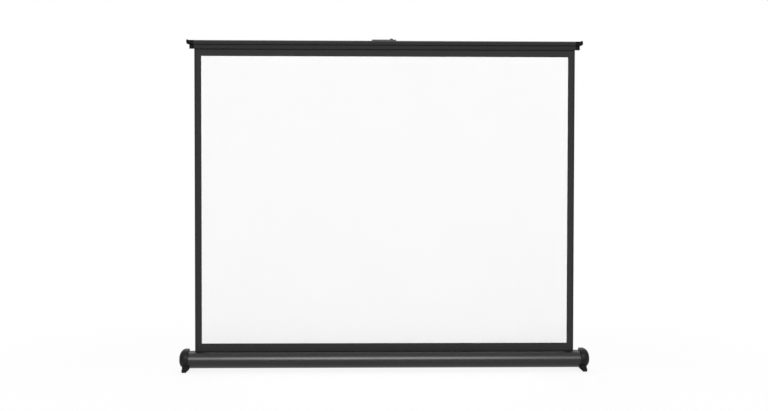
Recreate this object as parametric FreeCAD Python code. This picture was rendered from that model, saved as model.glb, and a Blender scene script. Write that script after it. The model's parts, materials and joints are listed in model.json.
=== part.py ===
import FreeCAD, Part
import math
import os

V = FreeCAD.Vector

# All sizes are millimetres and degrees. X runs to the right of the picture, Y to the back, Z up.

# Screen fabric
picture_width = 1016.0
picture_height = 795.8
side_border = 19.0
lower_border = 21.0
upper_border = 19.9
fabric_thickness = 0.4
wrap_count = 2
fabric_to_wraps_gap = 0.3

# Bottom case, an extrusion that is round in front and flat behind
case_height = 45.5
case_wall = 1.6
case_back_reach = 25.0
case_back_corner = 4.5
case_above_table = 9.5
slot_width = 12.0
slot_lip_depth = 4.0

# End caps of the case
cap_width = 25.2
cap_rise = 6.5
cap_lip = 2.5
cap_back_corner = 8.0
cap_shoulder = 15.0
cap_shoulder_lead = 3.0
cap_shoulder_turns = (0, 25, 45, 62, 77, 90)
cap_end_rise = 17.0
cap_end_height = 15.0
cap_end_corner = 5.0
cap_front_inset = 14.0
cap_back_inset = 12.0
cap_inner_round = 2.0
cap_pocket_radius = 18.0
cap_pocket_depth = 20.0
spigot_length = 12.0
spigot_above_axis = 12.0
spigot_gap = 0.2
axle_boss_radius = 9.0
axle_boss_setback = 3.5
cap_screw_inset = 6.0
cap_screw_rises = (-10.0, 6.0)
cap_screw_radius = 1.5
cap_screw_length = 4.8
cap_screw_head_radius = 3.2
cap_screw_head_height = 1.6
cap_screw_socket = 2.4

# Roller, its bearings and its spring
roller_radius = 12.5
roller_wall = 1.0
key_radius = 2.4
key_depth = 10.2
key_bore_radius = 1.6
key_slit = 1.2
roller_spline_radius = 1.4
plug_depth = 25.0
plug_flange_radius = 13.0
plug_flange = 2.0
axle_radius = 4.0
axle_end_gap = 2.0
bush_wall = 2.0
bush_length = 12.0
arbor_radius = 3.0
arbor_blade = 3.6
arbor_blade_length = 11.0
spring_wire = 1.8
spring_radius = 5.6
spring_turns = 24
spring_pitch = 5.0
spring_end_gap = 0.4
spring_neck_radius = 4.3
spring_neck_length = 10.0
collar_radius = 7.0
collar_length = 14.0

# Top bar, a hollow flange over a narrow body that nests between the end caps
bar_body_depth = 9.0
bar_body_height = 12.2
bar_flange_depth = 18.0
bar_flange_height = 11.4
bar_flange_round = 4.5
bar_wall = 1.5
bar_cavity_round = 2.4
bar_past_fabric = 1.0
bar_groove_radius = 3.0
bar_groove_rise = 5.6
bar_slit = 1.6
bar_cap_body = 12.0
bar_cap_ear = 8.0
bar_cap_spigot = 12.0
bar_cap_lower_round = 4.5
bar_cap_tip_width = 4.0
bar_cap_tip_rise = 1.6
bar_cap_tip_round = 0.7
bar_to_cap_gap = 2.5
top_spline_radius = 1.5
hem_radius = 2.4

# Folding arm behind the screen
pivot_x = 17.2
base_pivot_rise = 28.5
knob_rise = 7.7
over_centre = 1.2
pin_radius = 3.0
pin_head_radius = 6.0
pin_head_height = 2.4
pin_rivet_radius = 4.6
pin_rivet_height = 1.4
washer_radius = 6.0
washer_thickness = 0.8
washer_gap = 0.1
arm_to_bracket_gap = 1.0
channel_sheet = 1.3
channel_inside = 13.0
channel_web_reach = 8.5
channel_edge_reach = 6.5
channel_end = 7.5
channel_end_round = 6.0
knee_stop_reach = 25.0
upper_arm_width = 11.0
upper_arm_half_height = 6.0
upper_arm_sheet = 1.2
arm_bush_wall = 1.8

# Brackets of the folding arm
base_plate = 2.0
base_plate_width = 60.0
base_plate_height = 32.0
base_plate_corner = 5.0
base_plate_drop = 16.0
base_screw_inset = 7.0
base_screw_radius = 2.0
base_screw_length = 3.5
base_screw_head_radius = 3.8
saddle_width = 67.6
saddle_middle = -4.0
saddle_height = 3.3
saddle_round = 1.6
saddle_front_setback = 3.0
hanger_plate = 2.0
hanger_plate_height = 10.5
hanger_screw_places = (-24.0, 4.0)
hanger_screw_drop = 5.7
hanger_screw_radius = 1.5
hanger_screw_head_radius = 3.2
hanger_screw_head_height = 1.6
spacer_radius = 5.5

# Feet
foot_outer_inset = 7.0
foot_top_width = 21.0
foot_bottom_width = 13.4
foot_rear_top_width = 15.4
foot_rear_bottom_width = 9.4
foot_height = 7.1
foot_corner = 4.0
foot_pivot_inset = 15.9
foot_pivot_forward = 11.0
foot_front_reach = 25.0
foot_rear_reach = 118.0
foot_boss_radius = 9.0
foot_boss_height = 8.0
foot_screw_radius = 3.0
foot_screw_thread_radius = 2.0
foot_screw_thread_length = 7.5
foot_screw_head_radius = 5.5
foot_screw_head_height = 2.5
foot_screw_head_recess = 0.5
foot_screw_socket = 3.0
foot_screw_socket_depth = 1.4
pad_proud = 1.5
pad_sunk = 1.0
pad_corner = 2.0
pad_edge = 1.3
front_pad_length = 6.2
rear_pad_length = 16.0

# Fits
seat_gap = 0.05
running_gap = 0.06
head_gap = 0.5

# Places worked out from the sizes above
cap_front_reach = case_height / 2 + cap_lip
roller_y = -(foot_rear_reach - cap_front_reach) / 2
case_bottom = case_above_table
case_top = case_bottom + case_height
roller_z = case_bottom + case_height / 2
case_front = roller_y - case_height / 2
case_back = roller_y + case_back_reach
fabric_half = picture_width / 2 + side_border
bar_end = fabric_half + bar_past_fabric
case_end = bar_end + bar_cap_body + bar_to_cap_gap
cap_end = case_end + cap_width
cap_top = case_top + cap_rise
cap_front = case_front - cap_lip
cap_back = case_back + cap_lip
wraps_radius = roller_radius + wrap_count * fabric_thickness
fabric_front = roller_y + wraps_radius + fabric_to_wraps_gap
fabric_y = fabric_front + fabric_thickness / 2
bar_bottom = case_top + lower_border + picture_height + upper_border
flange_bottom = bar_bottom + bar_body_height
bar_top = flange_bottom + bar_flange_height
flange_back = fabric_y + bar_flange_depth / 2
groove_z = bar_bottom + bar_groove_rise
base_pivot_z = case_bottom + base_pivot_rise
top_pivot_z = bar_top + knob_rise - upper_arm_half_height
arm_length = (top_pivot_z - base_pivot_z) / 2 / math.cos(math.radians(over_centre))
channel_front = case_back + base_plate + arm_to_bracket_gap
channel_back = channel_front + channel_inside + 2 * channel_sheet
arm_y = (channel_front + channel_back) / 2
upper_front = arm_y - upper_arm_width / 2
upper_back = arm_y + upper_arm_width / 2
knee_x = pivot_x + arm_length * math.sin(math.radians(over_centre))
knee_z = base_pivot_z + arm_length * math.cos(math.radians(over_centre))
foot_outer = cap_end - foot_outer_inset
foot_pivot_x = cap_end - foot_pivot_inset
foot_pivot_y = roller_y - foot_pivot_forward
foot_tip = roller_y - foot_front_reach
foot_tail = roller_y + foot_rear_reach
foot_bottom = pad_proud
foot_top = foot_bottom + foot_height


def box(x0, x1, y0, y1, z0, z1):
    """Block between two corners."""
    return Part.makeBox(x1 - x0, y1 - y0, z1 - z0, V(x0, y0, z0))


def rod_x(radius, x0, x1, y, z):
    """Round bar along X."""
    return Part.makeCylinder(radius, x1 - x0, V(x0, y, z), V(1, 0, 0))


def rod_y(radius, y0, y1, x, z):
    """Round bar along Y."""
    return Part.makeCylinder(radius, y1 - y0, V(x, y0, z), V(0, 1, 0))


def rod_z(radius, z0, z1, x, y):
    """Round bar along Z."""
    return Part.makeCylinder(radius, z1 - z0, V(x, y, z0), V(0, 0, 1))


def ring_y(outer, inner, y0, y1, x, z):
    """Washer or bush along Y."""
    return rod_y(outer, y0, y1, x, z).cut(rod_y(inner, y0, y1, x, z))


def both_sides(shape):
    """The shape and its mirror image across the middle of the screen."""
    return [shape.mirror(V(0, 0, 0), V(1, 0, 0)), shape]


def edges_at(shape, test):
    """Edges whose ends and middle all pass a test."""
    found = []
    for edge in shape.Edges:
        points = [vertex.Point for vertex in edge.Vertexes]
        points.append(edge.valueAt((edge.FirstParameter + edge.LastParameter) / 2))
        if all(test(point) for point in points):
            found.append(edge)
    return found


def d_outline(x, front, back, bottom, top, corner):
    """Outline across the length that is half round in front, with two rounded corners behind."""
    radius = (top - bottom) / 2
    middle_y = front + radius
    middle_z = (top + bottom) / 2
    cut = corner * (1 - math.sqrt(0.5))
    top_start = V(x, middle_y, top)
    bottom_start = V(x, middle_y, bottom)
    low_before = V(x, back - corner, bottom)
    low_after = V(x, back, bottom + corner)
    high_before = V(x, back, top - corner)
    high_after = V(x, back - corner, top)
    edges = [
        Part.Arc(top_start, V(x, front, middle_z), bottom_start).toShape(),
        Part.LineSegment(bottom_start, low_before).toShape(),
        Part.Arc(low_before, V(x, back - cut, bottom + cut), low_after).toShape(),
        Part.LineSegment(low_after, high_before).toShape(),
        Part.Arc(high_before, V(x, back - cut, top - cut), high_after).toShape(),
        Part.LineSegment(high_after, top_start).toShape(),
    ]
    return Part.Wire(edges)


def d_prism(x0, x1, front, back, bottom, top, corner):
    """Solid with the half-round outline between two places along X."""
    return Part.Face(d_outline(x0, front, back, bottom, top, corner)).extrude(V(x1 - x0, 0, 0))


def case_prism(x0, x1, inset):
    """Case outline moved inward all round."""
    return d_prism(
        x0,
        x1,
        case_front + inset,
        case_back - inset,
        case_bottom + inset,
        case_top - inset,
        case_back_corner - inset,
    )


def pan_screw(head_radius, head_height, radius, length, socket, place, inward):
    """Round-headed screw: the head stands outside the place, the shank runs inward."""
    head = Part.makeCylinder(head_radius, head_height, place, inward * -1)
    crown = edges_at(head, lambda point: (point - place).dot(inward) < -head_height + 0.01)
    head = head.makeFillet(head_height * 0.6, crown)
    recess = Part.makeCylinder(socket / 2, head_height, place - inward * head_height * 1.5, inward)
    shank = Part.makeCylinder(radius, length, place, inward)
    return head.cut(recess).fuse(shank).removeSplitter()


def cap_screw_places():
    """Place and inward direction of the two screws at the right-hand end of the case."""
    x = case_end - cap_screw_inset
    return [(V(x, case_back, roller_z + rise), V(0, -1, 0)) for rise in cap_screw_rises]


def make_case():
    """Case tube with a slot along its top, two turned-in lips and its screw holes."""
    case = case_prism(-case_end, case_end, 0).cut(case_prism(-case_end, case_end, case_wall))
    slot_front = fabric_y - slot_width / 2
    slot_back = fabric_y + slot_width / 2
    lip_bottom = case_top - case_wall - slot_lip_depth
    for y0 in (slot_front - case_wall, slot_back):
        lip = box(-case_end, case_end, y0, y0 + case_wall, lip_bottom, case_top - case_wall / 2)
        ends = edges_at(lip, lambda point: point.z < lip_bottom + 0.01)
        case = case.fuse(lip.makeFillet(case_wall * 0.45, [e for e in ends if e.Length > case_end]))
    case = case.cut(box(-case_end, case_end, slot_front, slot_back, case_top - 3 * case_wall, case_top + 1))
    for place, inward in cap_screw_places():
        hole = Part.makeCylinder(cap_screw_radius + seat_gap, 2 * case_wall, place - inward * 0.5, inward)
        for cutter in both_sides(hole):
            case = case.cut(cutter)
    for place in base_screw_places():
        case = case.cut(rod_y(base_screw_radius + seat_gap, case_back - 2 * case_wall, case_back + 1, *place))
    return case.removeSplitter()


def cap_section(x, share):
    """Outline of the end cap, drawn in by a share of the way to its small end face."""
    top_inset = cap_top - case_bottom - cap_end_rise - cap_end_height
    return d_outline(
        x,
        cap_front + share * cap_front_inset,
        cap_back - share * cap_back_inset,
        case_bottom + share * cap_end_rise,
        cap_top - share * top_inset,
        cap_back_corner + share * (cap_end_corner - cap_back_corner),
    )


def cap_dome():
    """Outer end of the end cap, which rounds off on all sides through a quarter of an ellipse."""
    start = cap_end - cap_shoulder
    sections = [cap_section(start - cap_shoulder_lead, 0)]
    for turn in cap_shoulder_turns:
        angle = math.radians(turn)
        sections.append(cap_section(start + cap_shoulder * math.sin(angle), 1 - math.cos(angle)))
    return Part.makeLoft(sections, True, False)


def make_end_cap():
    """Moulded right-hand end cap: domed outside, spigot into the case, seat for the roller."""
    dome_start = cap_end - cap_shoulder - cap_shoulder_lead
    cap = d_prism(case_end, dome_start, cap_front, cap_back, case_bottom, cap_top, cap_back_corner)
    cap = cap.makeFillet(cap_inner_round, edges_at(cap, lambda point: point.x < case_end + 0.01))
    cap = cap.fuse(cap_dome())
    boss = rod_z(foot_boss_radius, case_bottom, case_bottom + foot_boss_height, foot_pivot_x, foot_pivot_y)
    spigot = case_prism(case_end - spigot_length, case_end, case_wall + spigot_gap)
    spigot = spigot.common(
        box(0, cap_end, cap_front, cap_back, case_bottom, roller_z + spigot_above_axis)
    )
    cap = cap.fuse(boss).fuse(spigot)
    pocket_floor = case_end + cap_pocket_depth
    pocket = d_prism(
        case_end - spigot_length - 1,
        pocket_floor,
        roller_y - cap_pocket_radius,
        roller_y + cap_pocket_radius,
        roller_z - cap_pocket_radius,
        roller_z + cap_pocket_radius,
        cap_back_corner,
    )
    cap = cap.cut(pocket)
    axle_boss = rod_x(axle_boss_radius, case_end + axle_boss_setback, pocket_floor + 1, roller_y, roller_z)
    cap = cap.fuse(axle_boss)
    thread_radius = foot_screw_thread_radius + seat_gap
    thread_top = case_bottom + foot_screw_thread_length + seat_gap
    cap = cap.cut(rod_z(thread_radius, case_bottom - 1, thread_top, foot_pivot_x, foot_pivot_y))
    for place, inward in cap_screw_places():
        depth = cap_screw_length + seat_gap
        cap = cap.cut(Part.makeCylinder(cap_screw_radius + seat_gap, depth, place, inward))
    return cap.removeSplitter()


def make_left_cap(cap):
    """Left-hand cap: a round seat for the bush of the idler axle."""
    seat = case_end + axle_boss_setback
    bore = rod_x(axle_radius + bush_wall + seat_gap, seat - 1, seat + bush_length, roller_y, roller_z)
    relief = rod_x(axle_radius + 1, seat, seat + bush_length + 2, roller_y, roller_z)
    return both_sides(cap.cut(bore).cut(relief))[0]


def make_right_cap(cap):
    """Right-hand cap: a blade socket that keeps the spring arbor from turning."""
    seat = case_end + axle_boss_setback
    half = arbor_blade / 2 + seat_gap
    width = arbor_radius + seat_gap
    socket = box(
        seat - 1,
        seat + arbor_blade_length + seat_gap,
        roller_y - width,
        roller_y + width,
        roller_z - half,
        roller_z + half,
    )
    return cap.cut(socket)


def make_roller_bush():
    """Nylon bush in the left-hand cap."""
    seat = case_end + axle_boss_setback
    bush = rod_x(axle_radius + bush_wall, seat, seat + bush_length, roller_y, roller_z)
    bush = bush.cut(rod_x(axle_radius + running_gap, seat, seat + bush_length, roller_y, roller_z))
    return both_sides(bush)[0]


def make_roller_tube():
    """Thin tube with a keyhole channel that grips the end of the fabric."""
    key_z = roller_z - key_depth
    solid = rod_x(roller_radius, -fabric_half, fabric_half, roller_y, roller_z)
    tube = solid.cut(rod_x(roller_radius - roller_wall, -fabric_half, fabric_half, roller_y, roller_z))
    channel = rod_x(key_radius, -fabric_half, fabric_half, roller_y, key_z).common(solid)
    tube = tube.fuse(channel).cut(rod_x(key_bore_radius, -fabric_half, fabric_half, roller_y, key_z))
    slit = box(
        -fabric_half,
        fabric_half,
        roller_y - key_slit / 2,
        roller_y + key_slit / 2,
        roller_z - roller_radius - 1,
        key_z,
    )
    return tube.cut(slit).removeSplitter()


def make_plug():
    """Right-hand plug of the roller tube, with a groove that passes the keyhole channel."""
    end = fabric_half
    plug = rod_x(roller_radius - roller_wall - seat_gap, end - plug_depth, end, roller_y, roller_z)
    groove = rod_x(key_radius + seat_gap, end - plug_depth, end, roller_y, roller_z - key_depth)
    throat = box(
        end - plug_depth,
        end,
        roller_y - key_radius - seat_gap,
        roller_y + key_radius + seat_gap,
        roller_z - roller_radius,
        roller_z - key_depth,
    )
    plug = plug.cut(groove).cut(throat)
    start = end + seat_gap
    flange = rod_x(plug_flange_radius, start - 2 * seat_gap, start + plug_flange, roller_y, roller_z)
    core = rod_x(roller_radius / 2, end - plug_depth, start + plug_flange, roller_y, roller_z)
    keep = rod_x(plug_flange_radius, start, start + plug_flange, roller_y, roller_z)
    return plug.fuse(core).fuse(flange.common(keep)).removeSplitter()


def make_idler_plug(plug):
    """Left-hand plug with the stub axle."""
    start = fabric_half + plug_flange
    finish = case_end + axle_boss_setback + bush_length - axle_end_gap
    axle = rod_x(axle_radius, start, finish, roller_y, roller_z)
    return both_sides(plug.fuse(axle).removeSplitter())[0]


def make_spring_plug(plug):
    """Right-hand plug that turns on the arbor and carries one end of the spring."""
    start = fabric_half - plug_depth
    neck = rod_x(spring_neck_radius, start - spring_neck_length, start + 1, roller_y, roller_z)
    bore = rod_x(arbor_radius + running_gap, start - spring_neck_length, case_end, roller_y, roller_z)
    return plug.fuse(neck).cut(bore).removeSplitter()


def spring_start():
    """Right-hand end of the spring."""
    return fabric_half - plug_depth - spring_end_gap - spring_wire / 2


def spring_finish():
    """Left-hand end of the spring."""
    return spring_start() - spring_turns * spring_pitch


def make_arbor():
    """Spring arbor: a rod with a flat blade that sits in the right-hand cap."""
    blade_start = case_end + axle_boss_setback
    left_end = spring_finish() - spring_wire - collar_length
    rod = rod_x(arbor_radius, left_end, blade_start + arbor_blade_length, roller_y, roller_z)
    half = arbor_blade / 2
    for sign in (-1, 1):
        low = min(sign * half, sign * 2 * arbor_radius)
        high = max(sign * half, sign * 2 * arbor_radius)
        flat = box(
            blade_start,
            cap_end,
            roller_y - arbor_radius,
            roller_y + arbor_radius,
            roller_z + low,
            roller_z + high,
        )
        rod = rod.cut(flat)
    return rod


def make_arbor_collar():
    """Collar pinned on the arbor, where the still end of the spring is held."""
    right = spring_finish() - spring_wire / 2 - spring_end_gap
    collar = rod_x(collar_radius, right - collar_length, right, roller_y, roller_z)
    neck = rod_x(spring_neck_radius, right, right + spring_neck_length, roller_y, roller_z)
    left = right - collar_length
    bore = rod_x(arbor_radius + seat_gap, left, right + spring_neck_length, roller_y, roller_z)
    return collar.fuse(neck).cut(bore).removeSplitter()


def arc_between(start, corner, finish):
    """Circular arc that leaves start and reaches finish along the lines to one corner."""
    middle = (start + finish) * 0.5
    half = (finish - start).Length / 2
    slope = math.acos(min(1.0, half / (corner - start).Length))
    rise = (corner - middle).normalize() * (half * math.tan(slope / 2))
    return Part.Arc(start, middle + rise, finish).toShape()


def helix_path(turns):
    """Helix along -X made of two tangent arcs for each quarter turn."""
    points = []
    slopes = []
    for step in range(turns * 4 + 1):
        angle = step * math.pi / 2
        x = spring_start() - spring_pitch * step / 4
        y = roller_y + spring_radius * math.cos(angle)
        z = roller_z + spring_radius * math.sin(angle)
        points.append(V(x, y, z))
        rise = -spring_pitch / (2 * math.pi)
        slope = V(rise, -spring_radius * math.sin(angle), spring_radius * math.cos(angle))
        slopes.append(slope.normalize())
    edges = []
    for p0, p1, t0, t1 in zip(points, points[1:], slopes, slopes[1:]):
        chord = p1 - p0
        spread = 2 * (1 - t0.dot(t1))
        along = chord.dot(t0 + t1)
        reach = (-along + math.sqrt(along * along + spread * chord.dot(chord))) / spread
        first = p0 + t0 * reach
        second = p1 - t1 * reach
        join = (first + second) * 0.5
        edges.append(arc_between(p0, first, join))
        edges.append(arc_between(join, second, p1))
    return edges


def make_spring():
    """Torsion spring of the roller: one unbroken tube along the helix."""
    edges = helix_path(spring_turns)
    start = edges[0].valueAt(edges[0].FirstParameter)
    heading = edges[0].tangentAt(edges[0].FirstParameter)
    section = Part.Wire(Part.makeCircle(spring_wire / 2, start, heading))
    sweep = Part.BRepOffsetAPI.MakePipeShell(Part.Wire(edges))
    sweep.add(section)
    sweep.build()
    sweep.makeSolid()
    one_turn_on = Part.Wire(edges[14:19])
    gap = edges[8].distToShape(one_turn_on)[0] - spring_wire
    print(f"gap between spring turns {gap:.2f} mm")
    return sweep.shape()


def make_wraps():
    """The turns of fabric that never leave the roller."""
    wraps = rod_x(wraps_radius, -fabric_half, fabric_half, roller_y, roller_z)
    return wraps.cut(rod_x(roller_radius + seat_gap, -fabric_half, fabric_half, roller_y, roller_z))


def make_fabric():
    """Sheet from the roller to the hem inside the top bar."""
    back = fabric_front + fabric_thickness
    sheet = box(-fabric_half, fabric_half, fabric_front, back, roller_z, groove_z)
    hem = rod_x(hem_radius, -fabric_half, fabric_half, fabric_y, groove_z)
    hole = rod_x(top_spline_radius + seat_gap, -fabric_half, fabric_half, fabric_y, groove_z)
    return sheet.fuse(hem).cut(hole).removeSplitter()


def bar_flange(x0, x1, inset):
    """Top part of the bar, moved inward all round."""
    half = bar_flange_depth / 2 - inset
    block = box(x0, x1, fabric_y - half, fabric_y + half, flange_bottom + inset, bar_top - inset)
    long_edges = edges_at(block, lambda point: point.z > bar_top - inset - 0.01)
    radius = bar_flange_round if inset == 0 else bar_cavity_round
    return block.makeFillet(radius, [e for e in long_edges if e.Vertexes[0].X != e.Vertexes[-1].X])


def make_top_bar():
    """Hollow top bar with the groove that holds the hem of the fabric."""
    half = bar_body_depth / 2
    bar = box(-bar_end, bar_end, fabric_y - half, fabric_y + half, bar_bottom, flange_bottom)
    bar = bar.fuse(bar_flange(-bar_end, bar_end, 0)).cut(bar_flange(-bar_end, bar_end, bar_wall))
    bar = bar.cut(rod_x(bar_groove_radius, -bar_end, bar_end, fabric_y, groove_z))
    slit = box(
        -bar_end, bar_end, fabric_y - bar_slit / 2, fabric_y + bar_slit / 2, bar_bottom - 1, groove_z
    )
    bar = bar.cut(slit)
    inside = flange_back - 2 * bar_wall
    for x in hanger_screw_places:
        bar = bar.cut(rod_y(hanger_screw_radius + seat_gap, inside, flange_back + 1, x, hanger_screw_z()))
    return bar.removeSplitter()


def make_bar_cap():
    """Right-hand end of the top bar: a block under an ear that rests on the end cap."""
    half = bar_body_depth / 2
    start = bar_end + seat_gap
    body_end = bar_end + bar_cap_body
    ear_end = body_end + bar_cap_ear
    block = box(start, body_end, fabric_y - half, fabric_y + half, bar_bottom, flange_bottom + bar_wall)
    ear = bar_flange(start, ear_end, 0)
    low = edges_at(ear, lambda point: point.x > ear_end - 0.01 and point.z < flange_bottom + 0.01)
    ear = ear.makeFillet(bar_cap_lower_round, low)
    tip_half = bar_flange_depth / 2 - bar_flange_round
    tip_top = bar_top + bar_cap_tip_rise
    tip_start = ear_end - bar_cap_tip_width
    tip = box(tip_start, ear_end, fabric_y - tip_half, fabric_y + tip_half, bar_top - 1, tip_top)
    tip = tip.makeFillet(bar_cap_tip_round, edges_at(tip, lambda point: point.z > tip_top - 0.01))
    spigot = bar_flange(bar_end - bar_cap_spigot, bar_end + 1, bar_wall + seat_gap)
    return block.fuse(ear).fuse(tip).fuse(spigot).removeSplitter()


def make_roller_spline():
    """Rod that keeps the fabric's lower end in the key of the roller."""
    return rod_x(roller_spline_radius, -fabric_half, fabric_half, roller_y, roller_z - key_depth)


def make_top_spline():
    """Rod inside the hem that keeps the fabric in the bar."""
    return rod_x(top_spline_radius, -fabric_half, fabric_half, fabric_y, groove_z)


def hanger_screw_z():
    """Height of the screws that hold the hanger to the bar."""
    return bar_top - hanger_screw_drop


def make_hanger():
    """Saddle over the top bar with a plate behind it, and on that a round lug for the upper pivot."""
    left = saddle_middle - saddle_width / 2
    right = saddle_middle + saddle_width / 2
    front = fabric_y - bar_flange_depth / 2 + saddle_front_setback
    plate_front = flange_back + seat_gap
    back = plate_front + hanger_plate
    top = bar_top + saddle_height
    saddle = box(left, right, front, back, bar_top + seat_gap, top)
    plate = box(left, right, plate_front, back, bar_top - hanger_plate_height, top)
    hanger = saddle.fuse(plate).removeSplitter()
    rim = edges_at(hanger, lambda point: point.z > top - 0.01)
    hanger = hanger.makeFillet(saddle_round, rim)
    lug = rod_y(upper_arm_half_height, plate_front, back, pivot_x, top_pivot_z)
    hanger = hanger.fuse(lug).removeSplitter()
    hanger = hanger.cut(rod_y(pin_radius + seat_gap, flange_back, back + 1, pivot_x, top_pivot_z))
    for x in hanger_screw_places:
        hanger = hanger.cut(rod_y(hanger_screw_radius + seat_gap, flange_back, back + 1, x, hanger_screw_z()))
    return hanger


def make_hanger_screws():
    """Two screws through the hanger plate into the bar."""
    back = flange_back + seat_gap + hanger_plate
    length = hanger_plate + seat_gap + bar_wall
    return [
        pan_screw(
            hanger_screw_head_radius,
            hanger_screw_head_height,
            hanger_screw_radius,
            length,
            cap_screw_socket,
            V(x, back, hanger_screw_z()),
            V(0, -1, 0),
        )
        for x in hanger_screw_places
    ]


def pivot_pin(y0, head_y, x, z):
    """Headed pin along Y with its head at the back."""
    head = rod_y(pin_head_radius, head_y, head_y + pin_head_height, x, z)
    rim = edges_at(head, lambda point: point.y > head_y + pin_head_height - 0.01)
    head = head.makeFillet(pin_head_height * 0.5, rim)
    return head.fuse(rod_y(pin_radius, y0, head_y, x, z)).removeSplitter()


def make_base_pin():
    """Pin that joins the lower arm to the base bracket."""
    return pivot_pin(case_back, channel_back + washer_thickness + 2 * washer_gap, pivot_x, base_pivot_z)


def make_base_washers():
    """Washers on both sides of the lower arm."""
    front = channel_front - washer_gap - washer_thickness
    back = channel_back + washer_gap
    return [
        ring_y(washer_radius, pin_radius + seat_gap, y, y + washer_thickness, pivot_x, base_pivot_z)
        for y in (front, back)
    ]


def base_screw_places():
    """Places of the four screws of the base bracket, as X and Z."""
    half_x = base_plate_width / 2 - base_screw_inset
    middle_z = base_pivot_z - base_plate_drop + base_plate_height / 2
    half_z = base_plate_height / 2 - base_screw_inset
    return [(pivot_x + sx * half_x, middle_z + sz * half_z) for sx in (-1, 1) for sz in (-1, 1)]


def make_base_bracket():
    """Plate on the back of the case that carries the lower pivot."""
    half = base_plate_width / 2
    low = base_pivot_z - base_plate_drop
    back = case_back + base_plate
    plate = box(pivot_x - half, pivot_x + half, case_back, back, low, low + base_plate_height)
    corners = [e for e in plate.Edges if abs(e.Vertexes[0].Y - e.Vertexes[-1].Y) > base_plate / 2]
    plate = plate.makeFillet(base_plate_corner, corners)
    plate = plate.cut(rod_y(pin_radius + seat_gap, case_back - 1, channel_front, pivot_x, base_pivot_z))
    for place in base_screw_places():
        plate = plate.cut(countersunk(place, seat_gap))
    return plate


def countersunk(place, gap):
    """Flush screw of the base bracket at X and Z, larger all round by a gap."""
    x, z = place
    face = case_back + base_plate
    shank = rod_y(base_screw_radius + gap, face - base_plate - base_screw_length, face, x, z)
    depth = base_screw_head_radius - base_screw_radius
    cone = Part.makeCone(
        base_screw_radius + gap,
        base_screw_head_radius + gap,
        depth,
        V(x, face - depth, z),
        V(0, 1, 0),
    )
    return shank.fuse(cone).removeSplitter()


def make_base_screws():
    """Four flush screws with a cross-shaped recess drawn as a round one."""
    depth = (base_screw_head_radius - base_screw_radius) / 2
    face = case_back + base_plate
    screws = []
    for place in base_screw_places():
        recess = rod_y(base_screw_radius / 2, face - depth, face + 1, *place)
        screws.append(countersunk(place, 0).cut(recess))
    return screws


def upright(x_left, x_right, z_low, z_high, y0, y1, radius):
    """Plate that stands across Y with rounded corners."""
    plate = box(x_left, x_right, y0, y1, z_low, z_high)
    corners = [e for e in plate.Edges if abs(e.Vertexes[0].Y - e.Vertexes[-1].Y) > (y1 - y0) / 2]
    return plate.makeFillet(radius, corners)


def lean(shape, x, z, angle):
    """Turn a shape about an axis along Y so that its top moves to +X for a positive angle."""
    return shape.rotated(V(x, 0, z), V(0, 1, 0), angle)


def make_lower_sides():
    """Front and back side of the lower arm, two flat bars with a hole at each end."""
    left = pivot_x - channel_web_reach
    right = pivot_x + channel_edge_reach
    knee = base_pivot_z + arm_length
    sides = []
    for y in (channel_front, channel_back - channel_sheet):
        low = base_pivot_z - channel_end
        high = knee + channel_end
        side = upright(left, right, low, high, y, y + channel_sheet, channel_end_round)
        for z, gap in ((base_pivot_z, running_gap), (knee, seat_gap)):
            side = side.cut(rod_y(pin_radius + gap, y - 1, y + channel_sheet + 1, pivot_x, z))
        sides.append(lean(side, pivot_x, base_pivot_z, over_centre))
    return sides


def make_lower_spine():
    """Strip welded between the two sides; above the knee it is the stop of the upper arm."""
    left = pivot_x - channel_web_reach
    stop = base_pivot_z + arm_length + knee_stop_reach
    front = channel_front + channel_sheet
    back = channel_back - channel_sheet
    low = base_pivot_z - channel_end + channel_end_round
    spine = box(left, left + channel_sheet, front, back, low, stop)
    tip = [e for e in spine.Edges if abs(e.Vertexes[0].X - e.Vertexes[-1].X) > channel_sheet / 2]
    spine = spine.makeFillet(channel_inside / 4, [e for e in tip if e.Vertexes[0].Z > stop - 0.01])
    return lean(spine, pivot_x, base_pivot_z, over_centre)


def arm_bush(front, back, x, z):
    """Spacer inside an arm, on its pivot pin."""
    return ring_y(pin_radius + arm_bush_wall, pin_radius + running_gap, front, back, x, z)


def make_base_bush():
    """Spacer inside the foot of the lower arm."""
    front = channel_front + channel_sheet + seat_gap
    return arm_bush(front, channel_back - channel_sheet - seat_gap, pivot_x, base_pivot_z)


def make_knee_pin():
    """Pin of the knee with a riveted front end."""
    front = channel_front - pin_rivet_height
    pin = pivot_pin(front, channel_back + seat_gap, knee_x, knee_z)
    rivet = rod_y(pin_rivet_radius, front, channel_front - seat_gap, knee_x, knee_z)
    rim = edges_at(rivet, lambda point: point.y < front + 0.01)
    return pin.fuse(rivet.makeFillet(pin_rivet_height * 0.5, rim)).removeSplitter()


def make_knee_washers():
    """Washers between the two arms."""
    front = channel_front + channel_sheet + washer_gap
    back = upper_back + washer_gap
    return [
        ring_y(washer_radius, pin_radius + seat_gap, y, y + washer_thickness, knee_x, knee_z)
        for y in (front, back)
    ]


def make_upper_arm():
    """Narrow channel that folds into the lower arm; its round top shows above the bar."""
    half = upper_arm_half_height
    arm = box(knee_x - half, knee_x + half, upper_front, upper_back, knee_z, knee_z + arm_length)
    for z in (knee_z, knee_z + arm_length):
        arm = arm.fuse(rod_y(half, upper_front, upper_back, knee_x, z))
    inside = box(
        knee_x - half - 1,
        knee_x + half - upper_arm_sheet,
        upper_front + upper_arm_sheet,
        upper_back - upper_arm_sheet,
        knee_z - 2 * half,
        knee_z + arm_length + 2 * half,
    )
    arm = arm.cut(inside)
    for z in (knee_z, knee_z + arm_length):
        arm = arm.cut(rod_y(pin_radius + running_gap, upper_front - 1, upper_back + 1, knee_x, z))
    return lean(arm.removeSplitter(), knee_x, knee_z, -over_centre)


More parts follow.
